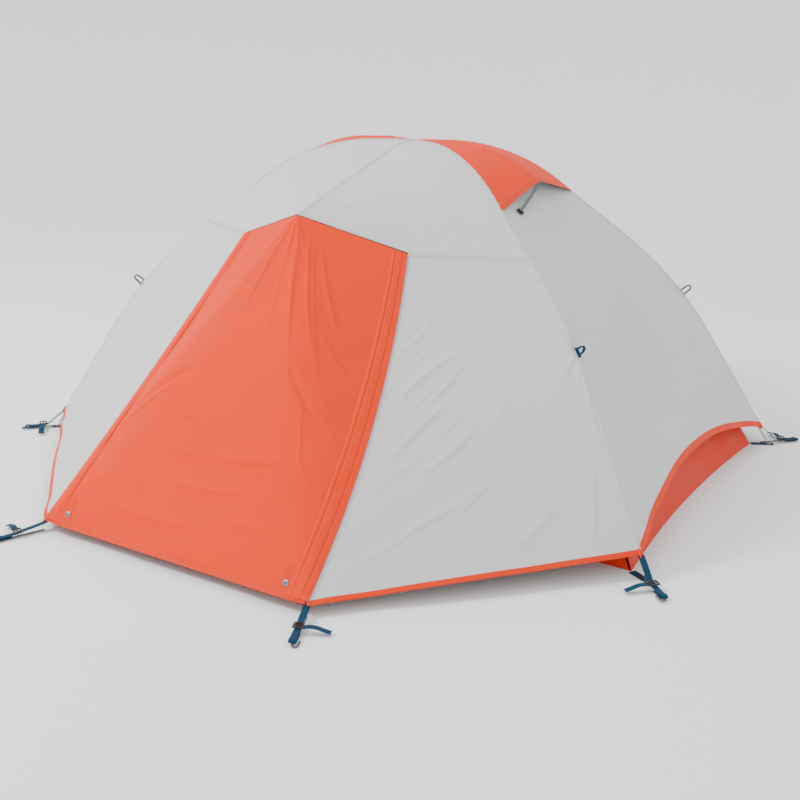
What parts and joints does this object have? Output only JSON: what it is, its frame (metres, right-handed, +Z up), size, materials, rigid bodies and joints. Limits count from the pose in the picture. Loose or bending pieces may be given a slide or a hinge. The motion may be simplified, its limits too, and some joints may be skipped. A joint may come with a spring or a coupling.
{
  "type": "dome tent",
  "caption": "Free-standing dome tent: inner tent hung from crossed poles under a rain fly with a porch, zipped door and vent hood on its sides, staked out at the corners.",
  "frame": {"origin": "centre of the floor at ground level", "axes": "+Z up, +X along the tent's floor towards its right-hand end, -Y out of the front door"},
  "size_m": [2.5324, 2.9428, 1.1001],
  "materials": {
    "grey_fabric": "coated woven polyester, slight sheen",
    "orange_fabric": "coated woven polyester, slight sheen",
    "floor_fabric": "coated woven polyester",
    "inner_mesh": "fine netting, matt",
    "inner_fabric": "woven, matt",
    "webbing": "ribbed webbing",
    "zip_tape": "woven tape",
    "zip_metal": "painted die casting",
    "pole_aluminium": "anodised, satin",
    "steel": "plated",
    "stake_wire": "drawn wire, satin",
    "elastic_cord": "braided elastic",
    "black_plastic": "moulded",
    "grey_plastic": "moulded"
  },
  "bodies": {
    "inner_tent": {"main_pole_a": "pole_aluminium", "main_pole_b": "pole_aluminium", "ridge_pole": "pole_aluminium", "pole_ferrules": "pole_aluminium", "pole_tips": "steel", "shock_cords": "elastic_cord", "pole_hub": "black_plastic", "pole_clips": "black_plastic", "tub_floor": "floor_fabric", "inner_crown": "inner_fabric", "gear_loop": "webbing", "wall_pockets": "inner_mesh", "corner_tabs": "webbing", "corner_grommets": "steel", "inner_zip_tapes": "zip_tape", "inner_zip_sliders": "zip_metal", "inner_end_walls": "inner_mesh", "inner_side_wall_front": "inner_mesh", "inner_side_wall_rear": "inner_mesh"},
    "rain_fly": {"fly_hem_binding": "orange_fabric", "tie_out_tabs": "webbing", "corner_straps": "webbing", "strap_adjusters": "black_plastic", "vent_meshes": "inner_mesh", "strut_mounts": "black_plastic", "fly_zip_tapes": "zip_tape", "fly_end_left": "grey_fabric", "fly_end_right": "grey_fabric", "vent_hood_left": "orange_fabric", "vent_hood_right": "orange_fabric", "fly_roof_front": "grey_fabric", "fly_roof_rear": "grey_fabric", "fly_side_front_left": "grey_fabric", "fly_side_rear_left": "grey_fabric", "fly_side_front_right": "grey_fabric", "fly_side_rear_right": "grey_fabric"},
    "fly_door_front": {"fly_door_front": "orange_fabric", "door_binding_front": "orange_fabric", "storm_flaps_front": "orange_fabric", "door_snaps_front": "steel"},
    "inner_door_front": {"inner_door_front": "inner_mesh"},
    "fly_door_rear": {"fly_door_rear": "orange_fabric", "door_binding_rear": "orange_fabric", "storm_flaps_rear": "orange_fabric", "door_snaps_rear": "steel"},
    "inner_door_rear": {"inner_door_rear": "inner_mesh"},
    "vent_strut_left": {"vent_strut_left": "grey_plastic"},
    "vent_strut_right": {"vent_strut_right": "grey_plastic"},
    "fly_slider_front_left": {"fly_slider_front_left": "zip_metal"},
    "fly_slider_rear_left": {"fly_slider_rear_left": "zip_metal"},
    "fly_slider_front_right": {"fly_slider_front_right": "zip_metal"},
    "fly_slider_rear_right": {"fly_slider_rear_right": "zip_metal"},
    "stake_body_front_left": {"stake_body_front_left": "stake_wire"},
    "stake_porch_front_left": {"stake_porch_front_left": "stake_wire"},
    "stake_body_rear_left": {"stake_body_rear_left": "stake_wire"},
    "stake_porch_rear_left": {"stake_porch_rear_left": "stake_wire"},
    "stake_body_front_right": {"stake_body_front_right": "stake_wire"},
    "stake_porch_front_right": {"stake_porch_front_right": "stake_wire"},
    "stake_body_rear_right": {"stake_body_rear_right": "stake_wire"},
    "stake_porch_rear_right": {"stake_porch_rear_right": "stake_wire"}
  },
  "joints": [
    {"name": "fly_lift", "type": "slide", "parent": "inner_tent", "child": "rain_fly", "axis": [0, 0, 1], "range_m": [0, 0.3]},
    {"name": "fly_door_front_swing", "type": "hinge", "parent": "rain_fly", "child": "fly_door_front", "pos_m": [0, -0.67, 0.924], "axis": [-1, 0, 0], "range_deg": [0, 50]},
    {"name": "inner_door_front_swing", "type": "hinge", "parent": "inner_tent", "child": "inner_door_front", "pos_m": [-0.28713, -0.39771, 0.64275], "axis": [-0.315, -0.4335, -0.8443], "range_deg": [0, 22]},
    {"name": "fly_door_rear_swing", "type": "hinge", "parent": "rain_fly", "child": "fly_door_rear", "pos_m": [0, 0.67, 0.924], "axis": [1, 0, 0], "range_deg": [0, 50]},
    {"name": "inner_door_rear_swing", "type": "hinge", "parent": "inner_tent", "child": "inner_door_rear", "pos_m": [-0.28713, 0.39771, 0.64275], "axis": [0.315, -0.4335, 0.8443], "range_deg": [0, 22]},
    {"name": "fly_slider_front_left_run", "type": "hinge", "parent": "rain_fly", "child": "fly_slider_front_left", "pos_m": [1.62338, -3.22499, 2.27321], "axis": [0.8085, 0.3122, -0.4988], "range_deg": [0, 16]},
    {"name": "fly_slider_rear_left_run", "type": "hinge", "parent": "rain_fly", "child": "fly_slider_rear_left", "pos_m": [1.62338, 3.22499, 2.27321], "axis": [-0.8085, 0.3122, 0.4988], "range_deg": [0, 16]},
    {"name": "fly_slider_front_right_run", "type": "hinge", "parent": "rain_fly", "child": "fly_slider_front_right", "pos_m": [-1.62338, -3.22499, 2.27321], "axis": [0.8085, -0.3122, 0.4988], "range_deg": [0, 16]},
    {"name": "fly_slider_rear_right_run", "type": "hinge", "parent": "rain_fly", "child": "fly_slider_rear_right", "pos_m": [-1.62338, 3.22499, 2.27321], "axis": [-0.8085, -0.3122, -0.4988], "range_deg": [0, 16]},
    {"name": "vent_strut_left_fold", "type": "hinge", "parent": "rain_fly", "child": "vent_strut_left", "pos_m": [-0.51226, -0.168, 0.91567], "axis": [0.719, -0.3173, 0.6184], "range_deg": [0, 9]},
    {"name": "vent_strut_right_fold", "type": "hinge", "parent": "rain_fly", "child": "vent_strut_right", "pos_m": [0.51226, -0.168, 0.91567], "axis": [0.719, 0.3173, -0.6184], "range_deg": [-9, 0]},
    {"name": "stake_body_front_left_pull", "type": "slide", "parent": "inner_tent", "child": "stake_body_front_left", "axis": [-0.7314, -0.682, 0], "range_m": [0, 0.15]},
    {"name": "stake_porch_front_left_pull", "type": "slide", "parent": "inner_tent", "child": "stake_porch_front_left", "axis": [-0.3746, -0.9272, 0], "range_m": [0, 0.15]},
    {"name": "stake_body_rear_left_pull", "type": "slide", "parent": "inner_tent", "child": "stake_body_rear_left", "axis": [-0.7314, 0.682, 0], "range_m": [0, 0.15]},
    {"name": "stake_porch_rear_left_pull", "type": "slide", "parent": "inner_tent", "child": "stake_porch_rear_left", "axis": [-0.3746, 0.9272, 0], "range_m": [0, 0.15]},
    {"name": "stake_body_front_right_pull", "type": "slide", "parent": "inner_tent", "child": "stake_body_front_right", "axis": [0.7314, -0.682, 0], "range_m": [0, 0.15]},
    {"name": "stake_porch_front_right_pull", "type": "slide", "parent": "inner_tent", "child": "stake_porch_front_right", "axis": [0.3746, -0.9272, 0], "range_m": [0, 0.15]},
    {"name": "stake_body_rear_right_pull", "type": "slide", "parent": "inner_tent", "child": "stake_body_rear_right", "axis": [0.7314, 0.682, 0], "range_m": [0, 0.15]},
    {"name": "stake_porch_rear_right_pull", "type": "slide", "parent": "inner_tent", "child": "stake_porch_rear_right", "axis": [0.3746, 0.9272, 0], "range_m": [0, 0.15]}
  ]
}
